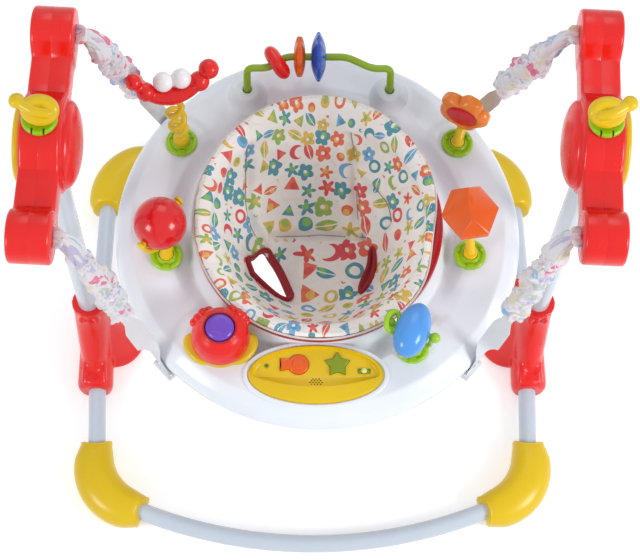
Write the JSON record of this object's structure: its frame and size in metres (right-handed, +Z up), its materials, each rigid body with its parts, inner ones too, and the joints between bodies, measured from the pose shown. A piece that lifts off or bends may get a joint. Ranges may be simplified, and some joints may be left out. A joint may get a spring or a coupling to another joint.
{
  "type": "baby jumper",
  "caption": "Baby jumper: a padded cloth seat that turns in a round toy tray, hung on sprung straps from two posts with curved beams on a bent tube base.",
  "frame": {"origin": "on the floor, at the centre of the bounding box in plan; the posts stand 14 mm in front of it", "axes": "+Z up, -Y towards the front (the sound panel), +X to the right when seen from the front"},
  "size_m": [0.817, 0.7836, 0.8664],
  "materials": {
    "tube_paint": "pale blue-grey gloss paint",
    "yellow_plastic": "moulded, glossy",
    "red_plastic": "moulded, glossy",
    "green_plastic": "moulded, glossy",
    "lime_plastic": "moulded, glossy",
    "orange_plastic": "moulded, glossy",
    "navy_plastic": "moulded, glossy",
    "sky_plastic": "moulded, glossy",
    "purple_plastic": "moulded, glossy",
    "star_plastic": "moulded, glossy",
    "white_plastic": "moulded, satin gloss",
    "seat_fabric": "padded printed cloth",
    "sleeve_fabric": "gathered printed cloth",
    "webbing": "woven strap",
    "spring_steel": "drawn wire",
    "board_laminate": "circuit laminate"
  },
  "bodies": {
    "frame": {"base_front_tube": "tube_paint", "base_rear_tube": "tube_paint", "post_left": "tube_paint", "post_right": "tube_paint", "foot_front_left": "yellow_plastic", "foot_rear_left": "yellow_plastic", "beam_left_plate": "yellow_plastic", "hub_left": "red_plastic", "beam_left_outer": "red_plastic", "beam_left_inner": "red_plastic", "beam_left_socket": "green_plastic", "sleeve_front_left": "sleeve_fabric", "spring_front_left": "spring_steel", "sleeve_rear_left": "sleeve_fabric", "spring_rear_left": "spring_steel", "foot_front_right": "yellow_plastic", "foot_rear_right": "yellow_plastic", "beam_right_plate": "yellow_plastic", "hub_right": "red_plastic", "beam_right_outer": "red_plastic", "beam_right_inner": "red_plastic", "beam_right_socket": "green_plastic", "sleeve_front_right": "sleeve_fabric", "spring_front_right": "spring_steel", "sleeve_rear_right": "sleeve_fabric", "spring_rear_right": "spring_steel"},
    "tray": {"tray_top": "white_plastic", "tray_base": "white_plastic", "battery_door": "white_plastic", "sound_board": "board_laminate", "panel": "yellow_plastic", "toy_bar": "lime_plastic", "crab_socket": "green_plastic", "crab_spring": "yellow_plastic", "ball_socket": "green_plastic", "tumbler_base": "yellow_plastic", "egg_fork": "green_plastic", "facet_socket": "green_plastic", "flower_socket": "green_plastic", "webbing_front_left": "webbing", "webbing_front_right": "webbing", "webbing_rear_left": "webbing", "webbing_rear_right": "webbing"},
    "seat": {"seat_ring": "red_plastic", "seat_pad": "seat_fabric"},
    "bead_red": {"bead_red": "red_plastic"},
    "bead_orange": {"bead_orange": "orange_plastic"},
    "bead_blue": {"bead_blue": "navy_plastic"},
    "crab": {"crab_rattle": "red_plastic"},
    "ball": {"spin_ball": "red_plastic"},
    "dome": {"tumbler_dome": "red_plastic"},
    "dome_button": {"tumbler_button": "purple_plastic"},
    "round_button": {"round_button": "orange_plastic"},
    "star_button": {"star_button": "star_plastic"},
    "mode_switch": {"mode_switch": "star_plastic"},
    "egg": {"egg": "sky_plastic"},
    "facet_spinner": {"facet_spinner": "orange_plastic"},
    "flower": {"flower": "orange_plastic"},
    "teether_left": {"teether_left": "yellow_plastic"},
    "teether_right": {"teether_right": "yellow_plastic"}
  },
  "joints": [
    {"name": "bounce", "type": "slide", "parent": "frame", "child": "tray", "axis": [0, 0, 1], "range_m": [-0.07, 0.03], "stiffness_N_per_m": 1200, "springref_m": 0.03585, "deforming": ["sleeve_front_left", "sleeve_front_right", "sleeve_rear_left", "sleeve_rear_right", "spring_front_left", "spring_front_right", "spring_rear_left", "spring_rear_right"]},
    {"name": "seat_turn", "type": "hinge", "parent": "tray", "child": "seat", "pos_m": [0, -0.014, 0.4862], "axis": [0, 0, 1], "continuous": true},
    {"name": "bead_red_spin", "type": "hinge", "parent": "tray", "child": "bead_red", "pos_m": [-0.0615, 0.22825, 0.54625], "axis": [0.8299, 0.4813, 0.2822], "continuous": true},
    {"name": "bead_orange_spin", "type": "hinge", "parent": "tray", "child": "bead_orange", "pos_m": [-0.02784, 0.2355, 0.5505], "axis": [1, 0, 0], "continuous": true},
    {"name": "bead_blue_spin", "type": "hinge", "parent": "tray", "child": "bead_blue", "pos_m": [0.00068, 0.2355, 0.5505], "axis": [1, 0, 0], "continuous": true},
    {"name": "crab_rock", "type": "hinge", "parent": "tray", "child": "crab", "pos_m": [-0.2113, 0.1249, 0.631], "axis": [0.979, 0.204, 0], "range_deg": [-15, 15], "stiffness_Nm_per_rad": 0.4},
    {"name": "ball_spin", "type": "hinge", "parent": "tray", "child": "ball", "pos_m": [-0.229, -0.038, 0.549], "axis": [0.5762, 0.8173, 0], "continuous": true},
    {"name": "dome_turn", "type": "hinge", "parent": "tray", "child": "dome", "pos_m": [-0.1415, -0.194, 0.482], "axis": [0, 0, 1], "continuous": true},
    {"name": "dome_press", "type": "slide", "parent": "dome", "child": "dome_button", "axis": [0, 0, 1], "range_m": [-0.002, 0], "stiffness_N_per_m": 300, "springref_m": 0.001},
    {"name": "round_press", "type": "slide", "parent": "tray", "child": "round_button", "axis": [0, 0, 1], "range_m": [-0.002, 0], "stiffness_N_per_m": 300, "springref_m": 0.001},
    {"name": "star_press", "type": "slide", "parent": "tray", "child": "star_button", "axis": [0, 0, 1], "range_m": [-0.002, 0], "stiffness_N_per_m": 300, "springref_m": 0.001},
    {"name": "switch_slide", "type": "slide", "parent": "tray", "child": "mode_switch", "axis": [1, 0, 0], "range_m": [-0.005, 0.005]},
    {"name": "egg_tumble", "type": "hinge", "parent": "tray", "child": "egg", "pos_m": [0.13, -0.2, 0.545], "axis": [0.936, -0.352, 0], "continuous": true},
    {"name": "facet_spin", "type": "hinge", "parent": "tray", "child": "facet_spinner", "pos_m": [0.21742, -0.03427, 0.55162], "axis": [-0.0798, 0.3391, 0.9374], "continuous": true},
    {"name": "flower_spin", "type": "hinge", "parent": "tray", "child": "flower", "pos_m": [0.216, 0.146, 0.544], "axis": [-0.4933, -0.8356, 0.2416], "continuous": true},
    {"name": "teether_left_turn", "type": "hinge", "parent": "frame", "child": "teether_left", "pos_m": [-0.3685, -0.014, 0.821], "axis": [0, 0, 1], "continuous": true},
    {"name": "teether_right_turn", "type": "hinge", "parent": "frame", "child": "teether_right", "pos_m": [0.3685, -0.014, 0.821], "axis": [0, 0, 1], "continuous": true}
  ]
}
